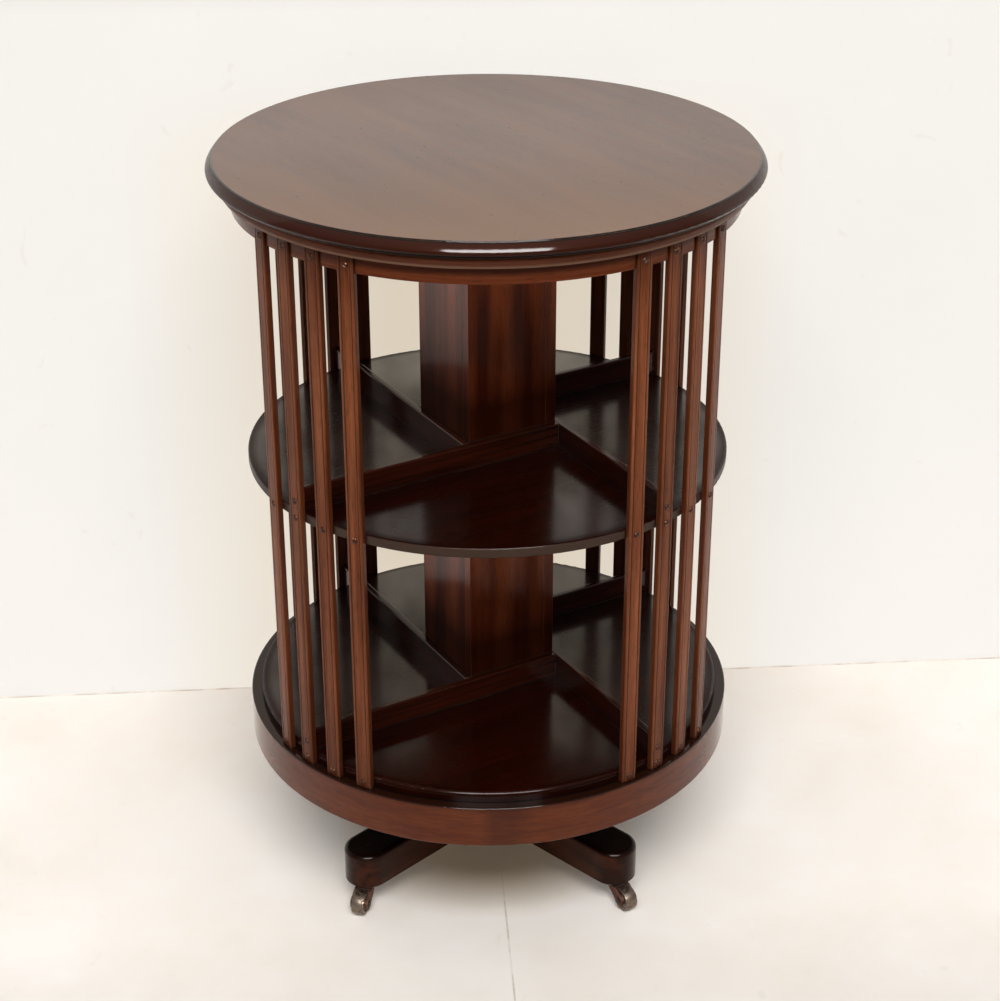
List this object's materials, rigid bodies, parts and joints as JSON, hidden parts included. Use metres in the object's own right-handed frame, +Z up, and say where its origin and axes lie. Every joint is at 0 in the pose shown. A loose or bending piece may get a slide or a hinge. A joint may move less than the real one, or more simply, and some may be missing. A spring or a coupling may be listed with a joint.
{
  "type": "revolving bookcase",
  "caption": "Round two-tier revolving bookcase: moulded top, slatted drum and hollow column on an iron spindle over a cross base with castors.",
  "frame": {"origin": "on the floor under the spindle, at the bottom centre of the bounding box", "axes": "+Z up along the spindle; the column's faces lie along X and Y, and one book bay opens towards -Y and -X"},
  "size_m": [0.56, 0.56, 0.8205],
  "materials": {
    "mahogany": "French-polished mahogany, glossy, warm red-brown",
    "slat_mahogany": "French-polished straight-grained mahogany, a little lighter",
    "dark_mahogany": "French-polished mahogany, dark red-brown, very glossy",
    "base_wood": "stained hardwood, dark brown, worn semi-gloss",
    "black_iron": "blackened iron, slightly greasy",
    "screw_iron": "dulled round-head iron screws",
    "castor_metal": "tarnished cast castor metal, brown-black",
    "wheel_metal": "tarnished brass wheel, tread worn bright"
  },
  "bodies": {
    "base": {"foot_bar_lower": "base_wood", "foot_bar_upper": "base_wood", "hub_block": "base_wood", "spindle_flange": "black_iron", "flange_screws": "black_iron", "spindle": "black_iron", "castor_plates": "castor_metal"},
    "drum": {"top_board": "mahogany", "cornice_moulding": "mahogany", "frieze_ring": "mahogany", "slat_01": "slat_mahogany", "slat_02": "slat_mahogany", "slat_03": "slat_mahogany", "slat_04": "slat_mahogany", "slat_05": "slat_mahogany", "slat_06": "slat_mahogany", "slat_07": "slat_mahogany", "slat_08": "slat_mahogany", "slat_09": "slat_mahogany", "slat_10": "slat_mahogany", "slat_11": "slat_mahogany", "slat_12": "slat_mahogany", "slat_13": "slat_mahogany", "slat_14": "slat_mahogany", "slat_15": "slat_mahogany", "slat_16": "slat_mahogany", "slat_screws": "screw_iron", "bottom_shelf": "dark_mahogany", "middle_shelf": "dark_mahogany", "plinth_ring": "mahogany", "bearer_block": "base_wood", "column_board_1": "mahogany", "column_board_2": "mahogany", "column_board_3": "mahogany", "column_board_4": "mahogany", "book_stop_lower_1": "dark_mahogany", "book_stop_lower_2": "dark_mahogany", "book_stop_lower_3": "dark_mahogany", "book_stop_lower_4": "dark_mahogany", "book_stop_upper_1": "dark_mahogany", "book_stop_upper_2": "dark_mahogany", "book_stop_upper_3": "dark_mahogany", "book_stop_upper_4": "dark_mahogany", "column_top_block": "mahogany", "pivot_cup": "black_iron", "pivot_cup_screws": "black_iron", "guide_collar": "black_iron", "guide_collar_screws": "black_iron"},
    "castor_1_fork": {"castor_1_horn": "castor_metal", "castor_1_axle": "screw_iron"},
    "castor_1_roller": {"castor_1_wheel": "wheel_metal"},
    "castor_2_fork": {"castor_2_horn": "castor_metal", "castor_2_axle": "screw_iron"},
    "castor_2_roller": {"castor_2_wheel": "wheel_metal"},
    "castor_3_fork": {"castor_3_horn": "castor_metal", "castor_3_axle": "screw_iron"},
    "castor_3_roller": {"castor_3_wheel": "wheel_metal"},
    "castor_4_fork": {"castor_4_horn": "castor_metal", "castor_4_axle": "screw_iron"},
    "castor_4_roller": {"castor_4_wheel": "wheel_metal"}
  },
  "joints": [
    {"name": "drum_turn", "type": "hinge", "parent": "base", "child": "drum", "pos_m": [0, 0, 0.7715], "axis": [0, 0, 1], "continuous": true},
    {"name": "castor_1_swivel", "type": "hinge", "parent": "base", "child": "castor_1_fork", "pos_m": [-0.18493, -0.05163, 0.0237], "axis": [0, 0, 1], "continuous": true},
    {"name": "castor_1_roll", "type": "hinge", "parent": "castor_1_fork", "child": "castor_1_roller", "pos_m": [-0.20454, -0.07091, 0.0135], "axis": [0.7009, -0.7133, 0], "continuous": true},
    {"name": "castor_2_swivel", "type": "hinge", "parent": "base", "child": "castor_2_fork", "pos_m": [0.05163, -0.18493, 0.0237], "axis": [0, 0, 1], "continuous": true},
    {"name": "castor_2_roll", "type": "hinge", "parent": "castor_2_fork", "child": "castor_2_roller", "pos_m": [0.05135, -0.21243, 0.0135], "axis": [0.9999, -0.0105, 0], "continuous": true},
    {"name": "castor_3_swivel", "type": "hinge", "parent": "base", "child": "castor_3_fork", "pos_m": [0.18493, 0.05163, 0.0237], "axis": [0, 0, 1], "continuous": true},
    {"name": "castor_3_roll", "type": "hinge", "parent": "castor_3_fork", "child": "castor_3_roller", "pos_m": [0.20568, 0.06967, 0.0135], "axis": [-0.6561, 0.7547, 0], "continuous": true},
    {"name": "castor_4_swivel", "type": "hinge", "parent": "base", "child": "castor_4_fork", "pos_m": [-0.05163, 0.18493, 0.0237], "axis": [0, 0, 1], "continuous": true},
    {"name": "castor_4_roll", "type": "hinge", "parent": "castor_4_fork", "child": "castor_4_roller", "pos_m": [-0.05259, 0.21241, 0.0135], "axis": [-0.9994, -0.0349, 0], "continuous": true}
  ]
}
